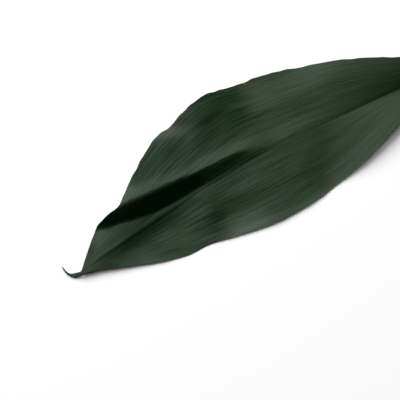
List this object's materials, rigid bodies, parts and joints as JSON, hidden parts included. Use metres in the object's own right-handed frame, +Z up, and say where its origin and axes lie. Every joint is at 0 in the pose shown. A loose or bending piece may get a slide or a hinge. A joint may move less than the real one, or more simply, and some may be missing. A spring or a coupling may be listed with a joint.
{
  "type": "preserved aspidistra leaf",
  "caption": "Long dark green leathery leaf lying on its keel and its margins, with a waved blade, a slanting fold, a sunken midrib, a curled tip and a slim channelled stalk.",
  "frame": {"origin": "on the table, under the middle of the leaf's bounding box", "axes": "+X along the leaf from its tip to the cut end of its stalk, +Y towards the folded half, +Z up"},
  "size_m": [0.5562, 0.1178, 0.0186],
  "materials": {
    "leaf": "satin, waxy"
  },
  "bodies": {
    "root": {"leaf": "leaf"}
  },
  "joints": []
}
